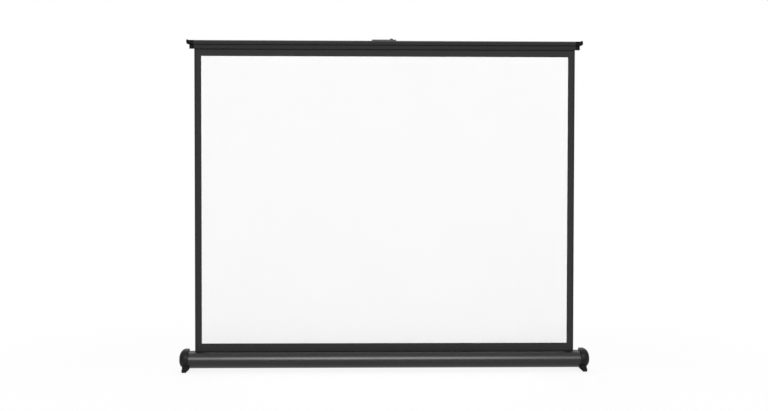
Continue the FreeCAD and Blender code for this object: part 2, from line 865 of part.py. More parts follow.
def make_upper_bushes():
    """Spacers inside the two ends of the upper arm."""
    front = upper_front + upper_arm_sheet + seat_gap
    back = upper_back - upper_arm_sheet - seat_gap
    return [arm_bush(front, back, knee_x, knee_z), arm_bush(front, back, pivot_x, top_pivot_z)]


def make_top_pin():
    """Pin that joins the upper arm to the hanger."""
    head_y = upper_back + washer_thickness + 2 * washer_gap
    return pivot_pin(flange_back + seat_gap, head_y, pivot_x, top_pivot_z)


def make_top_spacer():
    """Spacer between the hanger plate and the upper arm."""
    start = flange_back + 2 * seat_gap + hanger_plate
    finish = upper_front - washer_thickness - 2 * washer_gap
    return ring_y(spacer_radius, pin_radius + seat_gap, start, finish, pivot_x, top_pivot_z)


def make_top_washers():
    """Washers on both sides of the upper arm at the top pivot."""
    front = upper_front - washer_gap - washer_thickness
    back = upper_back + washer_gap
    return [
        ring_y(spacer_radius, pin_radius + seat_gap, y, y + washer_thickness, pivot_x, top_pivot_z)
        for y in (front, back)
    ]


def foot_section(y, top_width, bottom_width):
    """Section of the right-hand foot: upright outside, sloping inside."""
    corners = [
        V(foot_outer, y, foot_bottom),
        V(foot_outer, y, foot_top),
        V(foot_outer - top_width, y, foot_top),
        V(foot_outer - bottom_width, y, foot_bottom),
    ]
    return Part.makePolygon(corners + corners[:1])


def pad_blocks(gap):
    """Front and rear pads of the right-hand foot, larger in plan by a gap."""
    outside = foot_outer - pad_edge
    front_inside = foot_outer - foot_bottom_width + pad_edge
    rear_inside = foot_outer - foot_rear_bottom_width + pad_edge
    places = [
        (front_inside, foot_tip + pad_edge, foot_tip + pad_edge + front_pad_length),
        (rear_inside, foot_tail - 2 * pad_edge - rear_pad_length, foot_tail - 2 * pad_edge),
    ]
    pads = []
    for inside, y0, y1 in places:
        pad = box(inside - gap, outside + gap, y0 - gap, y1 + gap, 0, pad_proud + pad_sunk)
        corners = [e for e in pad.Edges if abs(e.Vertexes[0].Z - e.Vertexes[-1].Z) > pad_proud / 2]
        pads.append(pad.makeFillet(pad_corner, corners))
    return pads


def make_foot():
    """Right-hand foot: a tapered bar with a sunk pivot screw and two pad recesses."""
    front = foot_section(foot_tip, foot_top_width, foot_bottom_width)
    rear = foot_section(foot_tail, foot_rear_top_width, foot_rear_bottom_width)
    foot = Part.makeLoft([front, rear], True, True)
    upright_edges = [e for e in foot.Edges if abs(e.Vertexes[0].Z - e.Vertexes[-1].Z) > foot_height / 2]
    foot = foot.makeFillet(foot_corner, upright_edges)
    bore = rod_z(foot_screw_radius + running_gap, foot_bottom - 1, foot_top + 1, foot_pivot_x, foot_pivot_y)
    sink_top = foot_bottom + foot_screw_head_recess + foot_screw_head_height + washer_gap
    sink = rod_z(foot_screw_head_radius + head_gap, foot_bottom - 1, sink_top, foot_pivot_x, foot_pivot_y)
    foot = foot.cut(bore).cut(sink)
    for pad in pad_blocks(seat_gap):
        foot = foot.cut(pad)
    return foot


def make_foot_screw():
    """Shoulder screw on which the right-hand foot swings."""
    low = foot_bottom + foot_screw_head_recess
    high = low + foot_screw_head_height
    head = rod_z(foot_screw_head_radius, low, high, foot_pivot_x, foot_pivot_y)
    shoulder = rod_z(foot_screw_radius, high, case_bottom, foot_pivot_x, foot_pivot_y)
    thread_top = case_bottom + foot_screw_thread_length
    thread = rod_z(foot_screw_thread_radius, case_bottom, thread_top, foot_pivot_x, foot_pivot_y)
    corners = []
    for step in range(7):
        angle = step * math.pi / 3
        x = foot_pivot_x + foot_screw_socket * math.cos(angle)
        y = foot_pivot_y + foot_screw_socket * math.sin(angle)
        corners.append(V(x, y, low))
    socket = Part.Face(Part.makePolygon(corners)).extrude(V(0, 0, foot_screw_socket_depth))
    return head.fuse(shoulder).fuse(thread).cut(socket).removeSplitter()


def make_foot_washer():
    """Washer between the right-hand foot and its end cap."""
    low = foot_top + washer_gap / 2
    high = case_bottom - washer_gap / 2
    outer = rod_z(foot_boss_radius, low, high, foot_pivot_x, foot_pivot_y)
    return outer.cut(rod_z(foot_screw_radius + seat_gap, low, high, foot_pivot_x, foot_pivot_y))


def make_cap_screws():
    """Screws that hold both end caps in the case."""
    screws = []
    for place, inward in cap_screw_places():
        screw = pan_screw(
            cap_screw_head_radius,
            cap_screw_head_height,
            cap_screw_radius,
            cap_screw_length,
            cap_screw_socket,
            place,
            inward,
        )
        screws.extend(both_sides(screw))
    return screws


def build():
    """Every node by name."""
    cap = make_end_cap()
    plug = make_plug()
    bar_caps = both_sides(make_bar_cap())
    lower_sides = make_lower_sides()
    feet = both_sides(make_foot())
    left_pads = []
    right_pads = []
    for pad in pad_blocks(0):
        left, right = both_sides(pad)
        left_pads.append(left)
        right_pads.append(right)
    group = Part.makeCompound
    return {
        "case_extrusion": make_case(),
        "left_end_cap": make_left_cap(cap),
        "right_end_cap": make_right_cap(cap),
        "end_cap_screws": group(make_cap_screws()),
        "roller_bush": make_roller_bush(),
        "spring_arbor": make_arbor(),
        "arbor_collar": make_arbor_collar(),
        "torsion_spring": make_spring(),
        "base_bracket": make_base_bracket(),
        "base_bracket_screws": group(make_base_screws()),
        "base_pivot_pin": make_base_pin(),
        "base_pivot_washers": group(make_base_washers()),
        "foot_pivot_screws": group(both_sides(make_foot_screw())),
        "foot_washers": group(both_sides(make_foot_washer())),
        "screen_fabric": make_fabric(),
        "roller_tube": make_roller_tube(),
        "roller_idler_plug": make_idler_plug(plug),
        "roller_spring_plug": make_spring_plug(plug),
        "roller_spline": make_roller_spline(),
        "fabric_wraps": make_wraps(),
        "lower_arm_front_side": lower_sides[0],
        "lower_arm_back_side": lower_sides[1],
        "lower_arm_spine": make_lower_spine(),
        "lower_arm_bush": make_base_bush(),
        "knee_pin": make_knee_pin(),
        "knee_washers": group(make_knee_washers()),
        "upper_arm": make_upper_arm(),
        "upper_arm_bushes": group(make_upper_bushes()),
        "top_bar": make_top_bar(),
        "left_bar_cap": bar_caps[0],
        "right_bar_cap": bar_caps[1],
        "top_spline": make_top_spline(),
        "top_hanger": make_hanger(),
        "hanger_screws": group(make_hanger_screws()),
        "top_pivot_pin": make_top_pin(),
        "top_pivot_spacer": make_top_spacer(),
        "top_pivot_washers": group(make_top_washers()),
        "left_foot": feet[0],
        "left_foot_pads": group(left_pads),
        "right_foot": feet[1],
        "right_foot_pads": group(right_pads),
    }


os.makedirs("parts", exist_ok=True)
for node, shape in build().items():
    shape.exportStep(f"parts/{node}.step")
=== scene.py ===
import bpy
import json
import math
from mathutils import Matrix, Vector


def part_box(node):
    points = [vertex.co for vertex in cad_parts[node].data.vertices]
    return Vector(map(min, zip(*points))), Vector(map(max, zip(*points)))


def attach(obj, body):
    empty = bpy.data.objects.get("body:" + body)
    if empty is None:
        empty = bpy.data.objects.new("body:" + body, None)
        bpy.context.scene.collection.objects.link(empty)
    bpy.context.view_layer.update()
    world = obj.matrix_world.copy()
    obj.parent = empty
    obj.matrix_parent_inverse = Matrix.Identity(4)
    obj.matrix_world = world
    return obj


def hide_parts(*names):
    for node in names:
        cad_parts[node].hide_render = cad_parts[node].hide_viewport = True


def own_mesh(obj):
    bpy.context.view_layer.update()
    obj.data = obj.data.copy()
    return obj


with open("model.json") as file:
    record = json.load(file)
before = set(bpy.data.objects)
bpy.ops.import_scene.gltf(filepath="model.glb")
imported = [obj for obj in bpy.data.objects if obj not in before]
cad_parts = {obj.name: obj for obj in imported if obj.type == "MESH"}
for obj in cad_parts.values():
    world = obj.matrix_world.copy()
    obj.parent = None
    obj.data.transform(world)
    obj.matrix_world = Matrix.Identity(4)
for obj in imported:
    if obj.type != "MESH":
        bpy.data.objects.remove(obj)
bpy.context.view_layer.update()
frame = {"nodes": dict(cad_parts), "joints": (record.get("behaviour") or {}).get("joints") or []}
joints = {joint["name"]: joint for joint in frame["joints"]}

# Places and sizes that the frame gives, in metres
roller_y, roller_z = joints["roller_spin"]["pos_m"][1:]
roller_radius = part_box("roller_tube")[1][2] - roller_z
cloth_left, cloth_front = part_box("screen_fabric")[0][:2]
cloth_right, cloth_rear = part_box("screen_fabric")[1][:2]
cloth_width = cloth_right - cloth_left
cloth_y = (cloth_front + cloth_rear) / 2
rod_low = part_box("top_spline")[0][2]
rod_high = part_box("top_spline")[1][2]
hem_z = (rod_low + rod_high) / 2
bar_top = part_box("top_bar")[1][2]

# Screen: lengths in metres, the mouth of the hem in degrees, and the counts of its mesh
picture_width = 1.016
picture_low = 0.076
picture_high = 0.8718
cloth_thickness = 0.0004
hem_thickness = 0.00075
hem_clearance = 0.0001
hem_radius = (rod_high - rod_low) / 2 + hem_clearance + hem_thickness / 2
hem_mouth = 10.0
thread_pitch = 0.0005
side_curl = 0.0009
side_curl_reach = 0.045
curl_above_roller = 0.03
curl_below_hem = 0.015
cloth_columns = 136
cloth_rows = 96
hem_steps = 28

# Turns of cloth that stay on the roller
wrap_clearance = 0.00003
wrap_inner_radius = roller_radius + wrap_clearance
wrap_pitch = 0.00027
wrap_thickness = 0.00026
wrap_turns = 1.95
wrap_sides = 72
weld_distance = 0.000001

# Colours of the cloth, darkest and lightest
picture_dark = (0.9, 0.9, 0.895, 1.0)
picture_light = (0.93, 0.93, 0.93, 1.0)
border_dark = (0.021, 0.021, 0.022, 1.0)
border_light = (0.027, 0.027, 0.028, 1.0)
backing_dark = (0.016, 0.016, 0.016, 1.0)
backing_light = (0.026, 0.026, 0.026, 1.0)

# Places of the materials on a sheet of cloth
face_slot = 0
backing_slot = 1

# Roughness of the clear coat on paint
coat_roughness = 0.3

# Height of the rubbed edge along the top of the bar
bar_rubbed_edge = 0.003

# Camera, measured against the photograph: place and sight in metres, turns in degrees, sensor in mm
camera_place = (-0.104, -3.5328, 0.564)
camera_yaw = 1.649
camera_pitch = -1.708
camera_roll = 0.084
camera_focal_pixels = 1261.1
camera_sight = 100.0
picture_pixels_wide = 768
sensor_width = 36.0

# Lights: place, aim, width, height and power in watts
lights = {
    "front_softbox": ((0.0, -16.0, 7.8), (0.0, 0.0, 0.42), 3.4, 6.8, 1985.0),
    "top_softbox": ((0.0, 0.5, 2.4), (0.0, -0.03, 0.9), 1.6, 0.8, 8.0),
    "left_softbox": ((-2.9, -2.6, 1.3), (0.0, 0.0, 0.45), 1.2, 1.6, 8.0),
    "right_softbox": ((2.9, -2.6, 1.3), (0.0, 0.0, 0.45), 1.2, 1.6, 8.0),
    "back_softbox": ((0.0, 2.6, 3.0), (0.0, 0.0, 0.5), 2.0, 1.2, 18.0),
}
room_strength = 0.2

# Sine of the angle above which reflections meet the white ceiling
ceiling_from = 0.55

# Floor: its size, its own paleness, how far it is lifted to white in the picture, how much plain white
# is mixed in close to the part, and the distances between which that grows to plain white alone
floor_size = 40.0
floor_pale = 0.86
floor_lift = 0.36
floor_white_near = 0.75
floor_near = 0.6
floor_far = 1.6


class Signal:
    """An output socket of a shader node that takes part in sums, products and comparisons."""

    def __init__(self, tree, socket):
        self.tree = tree
        self.socket = socket

    def maths(self, operation, first, second=0.0):
        node = self.tree.nodes.new("ShaderNodeMath")
        node.operation = operation
        for slot, value in zip(node.inputs, (first, second)):
            if isinstance(value, Signal):
                self.tree.links.new(value.socket, slot)
            else:
                slot.default_value = value
        return Signal(self.tree, node.outputs[0])

    def __add__(self, other):
        return self.maths("ADD", self, other)

    def __radd__(self, other):
        return self.maths("ADD", other, self)

    def __sub__(self, other):
        return self.maths("SUBTRACT", self, other)

    def __rsub__(self, other):
        return self.maths("SUBTRACT", other, self)

    def __mul__(self, other):
        return self.maths("MULTIPLY", self, other)

    def __rmul__(self, other):
        return self.maths("MULTIPLY", other, self)

    def __gt__(self, other):
        return self.maths("GREATER_THAN", self, other)

    def __lt__(self, other):
        return self.maths("LESS_THAN", self, other)

    def __abs__(self):
        return self.maths("ABSOLUTE", self)

    def sine(self):
        return self.maths("SINE", self)

    def larger(self, other):
        return self.maths("MAXIMUM", self, other)


class Shading:
    """The nodes of a material or of the room, emptied and then filled one by one."""

    def __init__(self, owner):
        owner.use_nodes = True
        self.tree = owner.node_tree
        self.tree.nodes.clear()

    def add(self, kind, settings=None, sockets=None, output=0):
        """A node with its settings made first and its sockets set or linked. Gives one output."""
        node = self.tree.nodes.new(kind)
        for name, value in (settings or {}).items():
            setattr(node, name, value)
        for key, value in (sockets or {}).items():
            if isinstance(value, Signal):
                self.tree.links.new(value.socket, node.inputs[key])
            else:
                node.inputs[key].default_value = value
        return Signal(self.tree, node.outputs[output]) if node.outputs else None

    def ray_is(self, kind):
        """1 where the ray that arrives is of one kind."""
        return self.add("ShaderNodeLightPath", output="Is " + kind + " Ray")


class Finish(Shading):
    """One material: a principled shader and the nodes that feed it."""

    def __init__(self, name, steady):
        self.material = bpy.data.materials.new(name)
        super().__init__(self.material)
        self.shader = self.add("ShaderNodeBsdfPrincipled", {}, steady).socket.node
        self.add("ShaderNodeOutputMaterial", {}, {"Surface": Signal(self.tree, self.shader.outputs[0])})

    def feed(self, socket, signal):
        self.tree.links.new(signal.socket, self.shader.inputs[socket])

    def place(self, stretch=(1.0, 1.0, 1.0)):
        """Object coordinates in metres, stretched along the three axes."""
        raw = self.add("ShaderNodeTexCoord", output="Object")
        if stretch == (1.0, 1.0, 1.0):
            return raw
        return self.add("ShaderNodeMapping", {"vector_type": "POINT"}, {"Vector": raw, "Scale": stretch})

    def noise(self, scale, detail=2.0, roughness=0.5, stretch=(1.0, 1.0, 1.0)):
        """Soft random pattern from 0 to 1, with about as many blotches in a metre as its scale."""
        sockets = {"Vector": self.place(stretch), "Scale": scale, "Detail": detail, "Roughness": roughness}
        return self.add("ShaderNodeTexNoise", {"noise_dimensions": "3D"}, sockets, "Fac")

    def grain(self, scale):
        """Pattern of small rounded cells, about as many in a metre as its scale."""
        sockets = {"Vector": self.place(), "Scale": scale, "Randomness": 1.0}
        return self.add("ShaderNodeTexVoronoi", {"feature": "SMOOTH_F1"}, sockets, "Distance")

    def blend(self, factor, first, second):
        """Colour between two others."""
        settings = {"data_type": "RGBA", "blend_type": "MIX"}
        return self.add("ShaderNodeMix", settings, {0: factor, 6: first, 7: second}, 2)

    def bump(self, height, strength, distance):
        """Fine relief of some height in metres."""
        sockets = {"Height": height, "Strength": strength, "Distance": distance}
        self.feed("Normal", self.add("ShaderNodeBump", {}, sockets))


def grey(level, warmth=0.0):
    """Linear grey with a little warmth."""
    return (level * (1 + warmth), level, level * (1 - warmth), 1.0)


def coated_extrusion(name, dark, light, roughness, gloss, rubbed_above=None):
    """Fine powder coat on drawn aluminium, rubbed shiny by hands above a height where one is given."""
    finish = Finish(name, {"Specular IOR Level": gloss, "Coat Roughness": coat_roughness})
    lines = finish.noise(scale=1.0, detail=3.0, roughness=0.6, stretch=(1.5, 420.0, 420.0))
    cloud = finish.noise(scale=14.0, detail=3.0)
    orange_peel = finish.noise(scale=900.0)
    grain = finish.grain(scale=2600.0)
    finish.feed("Base Color", finish.blend(cloud * 0.6 + lines * 0.4, grey(dark), grey(light)))
    finish.feed("Roughness", roughness + (lines - 0.5) * 0.1 + (grain - 0.4) * 0.08)
    finish.bump(orange_peel * 0.7 + grain * 0.3, strength=0.22, distance=0.00012)
    if rubbed_above is not None:
        height = finish.add("ShaderNodeSeparateXYZ", {}, {"Vector": finish.place()}, "Z")
        finish.feed("Coat Weight", (height > rubbed_above) * (0.65 + cloud * 0.2))
    return finish.material


def moulded_plastic(name, dark, light, roughness, gloss):
    """Spark-eroded black moulding: dull, pebbled and a little rubbed."""
    finish = Finish(name, {"Specular IOR Level": gloss})
    pebbles = finish.grain(scale=1500.0)
    cloud = finish.noise(scale=35.0, detail=4.0, roughness=0.6)
    rubbed = finish.noise(scale=160.0, detail=3.0, roughness=0.7)
    finish.feed("Base Color", finish.blend(cloud * 0.7 + rubbed * 0.3, grey(dark), grey(light)))
    finish.feed("Roughness", roughness + (rubbed - 0.5) * 0.18)
    finish.bump(pebbles, strength=0.3, distance=0.00016)
    return finish.material


def painted_steel(name, dark, light, roughness):
    """Sprayed paint on sheet steel with a soft orange-peel surface."""
    finish = Finish(name, {"Coat Weight": 0.15, "Coat Roughness": coat_roughness})
    peel = finish.noise(scale=520.0)
    cloud = finish.noise(scale=22.0, detail=3.0)
    scuffs = finish.noise(scale=1.0, detail=4.0, roughness=0.7, stretch=(380.0, 380.0, 25.0))
    finish.feed("Base Color", finish.blend(cloud, grey(dark), grey(light)))
    finish.feed("Roughness", roughness + (scuffs - 0.5) * 0.2)
    finish.bump(peel, strength=0.2, distance=0.0002)
    return finish.material


def bare_metal(name, dark, light, roughness, stretch):
    """Metal with fine grain, which an uneven stretch draws out into lines."""
    finish = Finish(name, {"Metallic": 1.0})
    grain = finish.noise(scale=1.0, detail=3.0, roughness=0.6, stretch=stretch)
    cloud = finish.noise(scale=60.0, detail=3.0, roughness=0.6)
    finish.feed("Base Color", finish.blend(cloud, grey(dark, 0.01), grey(light, 0.02)))
    finish.feed("Roughness", roughness + (grain - 0.5) * 0.25)
    finish.bump(grain, strength=0.15, distance=0.00008)
    return finish.material


def soft_plastic(name, dark, light, roughness, warmth):
    """Unpainted nylon or rubber with a faint mottle."""
    finish = Finish(name, {"Specular IOR Level": 0.4})
    mottle = finish.noise(scale=120.0, detail=4.0, roughness=0.6)
    skin = finish.noise(scale=1400.0)
    finish.feed("Base Color", finish.blend(mottle, grey(dark, warmth), grey(light, warmth)))
    finish.feed("Roughness", roughness + (mottle - 0.5) * 0.15)
    finish.bump(skin, strength=0.25, distance=0.0001)
    return finish.material


def flat_place(finish):
    """Place on the cloth laid flat, across and along it, each from 0 to 1."""
    flat = finish.add("ShaderNodeUVMap", {"uv_map": "flat_cloth"}, output="UV")
    across = finish.add("ShaderNodeSeparateXYZ", {}, {"Vector": flat}, "X")
    along = finish.add("ShaderNodeSeparateXYZ", {}, {"Vector": flat}, "Y")
    return across, along


def weave_at(across, along):
    """Plain weave at a place on the cloth laid flat."""
    turn = 2 * math.pi / thread_pitch
    return (across * (cloth_width * turn)).sine() * (along * (cloth_length() * turn)).sine()


def cloth_face():
    """Matte white picture area inside a printed black border."""
    finish = Finish("matte_screen_face", {"Specular IOR Level": 0.2, "Sheen Weight": 0.03})
    across, along = flat_place(finish)
    half_share = picture_width / cloth_width / 2
    low_share = (picture_low - roller_z) / cloth_length()
    high_share = (picture_high - roller_z) / cloth_length()
    inside = (abs(across - 0.5) < half_share) * (along > low_share) * (along < high_share)
    fleck = finish.noise(scale=700.0, detail=3.0, roughness=0.6)
    tone = finish.noise(scale=5.0)
    white = finish.blend(fleck * 0.5 + tone * 0.5, picture_dark, picture_light)
    black = finish.blend(fleck, border_dark, border_light)
    finish.feed("Base Color", finish.blend(inside, black, white))
    finish.feed("Roughness", 0.92 - (1 - inside) * 0.22 + fleck * 0.05)
    finish.bump(weave_at(across, along) * 0.5 + fleck * 0.5, strength=0.12, distance=0.00006)
    return finish.material


def cloth_back():
    """Black opaque backing of the cloth."""
    finish = Finish("black_screen_back", {"Specular IOR Level": 0.3, "Sheen Weight": 0.05})
    weave = weave_at(*flat_place(finish))
    fleck = finish.noise(scale=500.0, detail=3.0, roughness=0.6)
    tone = finish.noise(scale=9.0, detail=3.0)
    finish.feed("Base Color", finish.blend(tone * 0.6 + fleck * 0.4, backing_dark, backing_light))
    finish.feed("Roughness", 0.72 + (fleck - 0.5) * 0.12)
    finish.bump(weave * 0.7 + fleck * 0.3, strength=0.2, distance=0.0001)
    return finish.material


def cloth_reach():
    """Length of the cloth between the roller and the outside of the hem."""
    return hem_z - hem_radius - hem_thickness / 2 - roller_z


def cloth_length():
    """Length of the cloth from the roller, up and once round the rod in its hem."""
    return cloth_reach() + 2 * math.pi * hem_radius


def bar_travel():
    """How far the folding arm lowers the bar, from its pivots and its range."""
    base = joints["arm_fold"]["pos_m"]
    knee = joints["knee_fold"]["pos_m"]
    sideways = knee[0] - base[0]
    upwards = knee[2] - base[2]
    link = math.hypot(sideways, upwards)
    lean = math.atan2(sideways, upwards)
    fold = math.radians(joints["arm_fold"]["range_deg"][1])
    return 2 * link * (math.cos(lean) - math.cos(fold - lean))


def curl_at(x, z):
    """How far the cloth's free sides bow to the back between the roller and the bar."""
    edge = max(0.0, abs(x) - (cloth_width / 2 - side_curl_reach)) / side_curl_reach
    low = roller_z + curl_above_roller
    high = hem_z - curl_below_hem
    share = min(1.0, max(0.0, (z - low) / (high - low)))
    return side_curl * edge * edge * math.sin(math.pi * share) ** 2


def thin_sheet(name, rings, columns, materials):
    """Closed thin mesh over two equal grids of points, front and back, with a flat map."""
    rows = len(rings)
    width = columns + 1
    back = rows * width
    vertices = [point for side in (0, 1) for ring in rings for point in ring[side]]
    faces = []
    slots = []
    for row in range(rows - 1):
        for column in range(columns):
            low_left = row * width + column
            low_right = low_left + 1
            high_left = low_left + width
            high_right = low_right + width
            faces.append((low_left, low_right, high_right, high_left))
            slots.append(face_slot)
            faces.append((back + high_left, back + high_right, back + low_right, back + low_left))
            slots.append(backing_slot)
        for low in (row * width, row * width + columns):
            high = low + width
            wall = (low, high, back + high, back + low)
            faces.append(wall if low % width == 0 else wall[::-1])
            slots.append(backing_slot)
    for row in (0, rows - 1):
        for column in range(columns):
            left = row * width + column
            wall = (left + 1, left, back + left, back + left + 1)
            faces.append(wall if row == 0 else wall[::-1])
            slots.append(backing_slot)
    mesh = bpy.data.meshes.new(name)
    mesh.from_pydata(vertices, [], faces)
    mesh.polygons.foreach_set("material_index", slots)
    mesh.polygons.foreach_set("use_smooth", [slot == face_slot for slot in slots])
    layer = mesh.uv_layers.new(name="flat_cloth")
    for loop in mesh.loops:
        point = loop.vertex_index % back
        layer.data[loop.index].uv = (point % width / columns, rings[point // width][2])
    for material in materials:
        mesh.materials.append(material)
    mesh.validate()
    piece = bpy.data.objects.new(name, mesh)
    bpy.context.scene.collection.objects.link(piece)
    return piece


def cloth_strip(name, path, thickness, materials):
    """Cloth as wide as the screen along a path of (y, z, y and z of its front normal, length so far)."""
    rings = []
    for y, z, normal_y, normal_z, run in path:
        sides = []
        for shift in (thickness / 2, -thickness / 2):
            ring = []
            for column in range(cloth_columns + 1):
                x = cloth_width * (column / cloth_columns - 0.5)
                ring.append((x, y + normal_y * shift + curl_at(x, z), z + normal_z * shift))
            sides.append(ring)
        rings.append((sides[0], sides[1], run / cloth_length()))
    return thin_sheet(name, rings, cloth_columns, materials)


def make_screen_cloth(materials):
    """White cloth with its border, from the roller up to the hem."""
    path = []
    for row in range(cloth_rows + 1):
        run = cloth_reach() * row / cloth_rows
        path.append((cloth_y, roller_z + run, -1.0, 0.0, run))
    return cloth_strip("screen_cloth", path, cloth_thickness, materials)


def make_hem(materials):
    """Doubled cloth once round the rod inside the top bar, with a narrow mouth at the bottom."""
    path = []
    for step in range(hem_steps + 1):
        angle = math.radians(hem_mouth + (360 - 2 * hem_mouth) * step / hem_steps)
        sine = math.sin(angle)
        cosine = math.cos(angle)
        run = cloth_reach() + hem_radius * angle
        path.append((cloth_y + hem_radius * sine, hem_z - hem_radius * cosine, -sine, cosine, run))
    return cloth_strip("screen_hem", path, hem_thickness, materials)


def rolled_cloth_tree():
    """Geometry nodes: a spiral in the roller's section, drawn out along the roller to a thin cloth."""
    tree = bpy.data.node_groups.new("rolled_cloth", "GeometryNodeTree")
    socket_kinds = {
        "Inner Radius": "NodeSocketFloat",
        "Pitch": "NodeSocketFloat",
        "Turns": "NodeSocketFloat",
        "Sides": "NodeSocketInt",
        "Width": "NodeSocketFloat",
        "Thickness": "NodeSocketFloat",
        "Axis": "NodeSocketVector",
        "Cloth": "NodeSocketMaterial",
    }
    for name, kind in socket_kinds.items():
        tree.interface.new_socket(name, in_out="INPUT", socket_type=kind)
    tree.interface.new_socket("Geometry", in_out="OUTPUT", socket_type="NodeSocketGeometry")
    given = tree.nodes.new("NodeGroupInput").outputs

    def step(kind, settings=None, sockets=None):
        node = tree.nodes.new(kind)
        for name, value in (settings or {}).items():
            setattr(node, name, value)
        for key, value in (sockets or {}).items():
            if isinstance(value, bpy.types.NodeSocket):
                tree.links.new(value, node.inputs[key])
            else:
                node.inputs[key].default_value = value
        return node.outputs

    growth = step("ShaderNodeMath", {"operation": "MULTIPLY"}, {0: given["Pitch"], 1: given["Turns"]})
    outer = step("ShaderNodeMath", {"operation": "ADD"}, {0: given["Inner Radius"], 1: growth[0]})
    spiral = step(
        "GeometryNodeCurveSpiral",
        {},
        {
            "Resolution": given["Sides"],
            "Rotations": given["Turns"],
            "Start Radius": given["Inner Radius"],
            "End Radius": outer[0],
            "Height": 0.0,
        },
    )
    quarter = math.pi / 2
    upright = step(
        "GeometryNodeTransform",
        {},
        {"Geometry": spiral[0], "Rotation": (quarter, 0.0, quarter)},
    )
    points = step("GeometryNodeCurveToMesh", {}, {"Curve": upright[0]})
    half = step("ShaderNodeMath", {"operation": "MULTIPLY"}, {0: given["Width"], 1: 0.5})
    start = step("ShaderNodeCombineXYZ", {}, {"X": half[0]})
    back = step("ShaderNodeVectorMath", {"operation": "SUBTRACT"}, {0: given["Axis"], 1: start[0]})
    placed = step("GeometryNodeTransform", {}, {"Geometry": points[0], "Translation": back[0]})
    reach = step("ShaderNodeCombineXYZ", {}, {"X": given["Width"]})
    drawn = step(
        "GeometryNodeExtrudeMesh",
        {"mode": "EDGES"},
        {"Mesh": placed[0], "Offset": reach[0], "Offset Scale": 1.0},
    )
    thick = step(
        "GeometryNodeExtrudeMesh",
        {"mode": "FACES"},
        {"Mesh": drawn[0], "Offset Scale": given["Thickness"], "Individual": False},
    )
    flipped = step("GeometryNodeFlipFaces", {}, {"Mesh": drawn[0]})
    joined = tree.nodes.new("GeometryNodeJoinGeometry")
    tree.links.new(thick[0], joined.inputs[0])
    tree.links.new(flipped[0], joined.inputs[0])
    welded = step(
        "GeometryNodeMergeByDistance",
        {},
        {"Geometry": joined.outputs[0], "Distance": weld_distance},
    )
    real = step("GeometryNodeRealizeInstances", {}, {"Geometry": welded[0]})
    painted = step("GeometryNodeSetMaterial", {}, {"Geometry": real[0], "Material": given["Cloth"]})
    result = tree.nodes.new("NodeGroupOutput")
    tree.links.new(painted[0], result.inputs[0])
    return tree


def grown_piece(name, tree, values):
    """Plain mesh object from a geometry-node tree and its named inputs."""
    holder = bpy.data.objects.new(name + "_holder", bpy.data.meshes.new(name + "_holder"))
    bpy.context.scene.collection.objects.link(holder)
    modifier = holder.modifiers.new("grow", "NODES")
    modifier.node_group = tree
    for item in tree.interface.items_tree:
        if item.in_out == "INPUT":
            modifier[item.identifier] = values[item.name]
    graph = bpy.context.evaluated_depsgraph_get()
    mesh = bpy.data.meshes.new_from_object(holder.evaluated_get(graph))
    mesh.name = name
    bpy.data.objects.remove(holder)
    piece = bpy.data.objects.new(name, mesh)
    bpy.context.scene.collection.objects.link(piece)
    return piece


def make_rolled_cloth(material):
    """Turns of the cloth that never leave the roller."""
    values = {
        "Inner Radius": wrap_inner_radius,
        "Pitch": wrap_pitch,
        "Turns": wrap_turns,
        "Sides": wrap_sides,
        "Width": cloth_width,
        "Thickness": wrap_thickness,
        "Axis": (0.0, roller_y, roller_z),
        "Cloth": material,
    }
    return grown_piece("rolled_cloth", rolled_cloth_tree(), values)


def paint(nodes, material):
    """Gives one finish to some CAD nodes."""
    for name in nodes:
        slots = frame["nodes"][name].data.materials
        slots.clear()
        slots.append(material)


